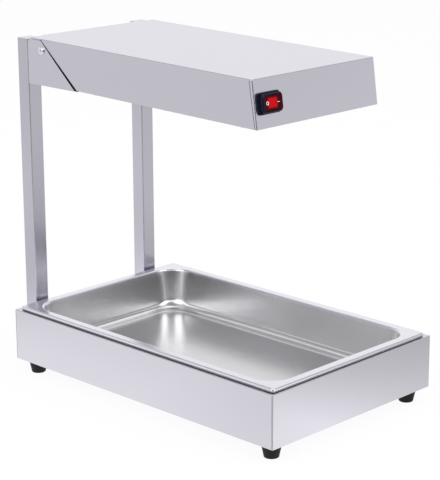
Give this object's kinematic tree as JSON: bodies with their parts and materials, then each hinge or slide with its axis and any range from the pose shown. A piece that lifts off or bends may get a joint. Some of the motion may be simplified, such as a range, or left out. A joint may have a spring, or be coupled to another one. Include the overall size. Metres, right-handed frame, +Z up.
{
  "type": "countertop fry warmer",
  "caption": "Stainless countertop fry warmer: base with a gastronorm pan, two rear posts and a tilting heated hood with a red rocker switch.",
  "frame": {"origin": "on the table, under the middle of the overall box", "axes": "+Z up, -Y towards the switch end of the hood (front), posts at +Y"},
  "size_m": [0.345, 0.57, 0.5236],
  "materials": {
    "stainless_steel": "fine brushed stainless sheet",
    "pan_steel": "bright drawn stainless, polished rim",
    "polished_steel": "polished screw heads",
    "dark_steel": "black phosphated steel",
    "zinc_steel": "zinc-plated fasteners",
    "galvanised_steel": "galvanised sheet",
    "reflector_aluminium": "bright polished sheet",
    "guard_wire": "bright nickel-plated wire",
    "black_rubber": "moulded rubber",
    "black_plastic": "moulded nylon",
    "red_plastic": "translucent red moulding",
    "milky_quartz": "milky quartz",
    "steatite": "fired ceramic",
    "heating_alloy": "oxidised heating wire",
    "brass": "turned brass",
    "lead_sleeve": "glass-fibre sleeve",
    "white_ink": "pad-printed switch marks"
  },
  "bodies": {
    "base": {"base_shell": "stainless_steel", "base_floor": "galvanised_steel", "rubber_feet": "black_rubber", "foot_screws": "zinc_steel", "foot_nuts": "zinc_steel", "left_post": "stainless_steel", "right_post": "stainless_steel", "post_caps": "stainless_steel", "post_plugs": "black_plastic", "post_nut_strips": "zinc_steel", "post_screws": "zinc_steel", "hinge_bracket": "stainless_steel", "bracket_screws": "zinc_steel", "cable_gland": "black_plastic", "gland_nut": "black_plastic", "pivot_screws": "polished_steel", "pivot_spacers": "dark_steel", "pivot_washers": "zinc_steel", "pivot_nuts": "zinc_steel"},
    "pan": {"food_pan": "pan_steel"},
    "hood": {"hood_shell": "stainless_steel", "hinge_lugs": "dark_steel", "reflector_tray": "reflector_aluminium", "tray_screws": "zinc_steel", "heater_tubes": "milky_quartz", "heater_caps": "steatite", "heater_filaments": "heating_alloy", "heater_pins": "brass", "wire_guard": "guard_wire", "guard_screws": "zinc_steel", "terminal_block": "steatite", "earth_stud": "brass", "wiring_leads": "lead_sleeve", "switch_body": "black_plastic", "switch_spades": "brass"},
    "rocker": {"switch_rocker": "red_plastic"}
  },
  "joints": [
    {"name": "hood_tilt", "type": "hinge", "parent": "base", "child": "hood", "pos_m": [0, 0.2283, 0.5058], "axis": [-1, 0, 0], "range_deg": [0, 20]},
    {"name": "rocker_tip", "type": "hinge", "parent": "hood", "child": "rocker", "pos_m": [-0.1003, -0.21408, 0.48145], "axis": [0, 0.1388, 0.9903], "range_deg": [0, 14]},
    {"name": "pan_lift", "type": "slide", "parent": "base", "child": "pan", "axis": [0, 0, 1], "range_m": [0, 0.12]}
  ]
}
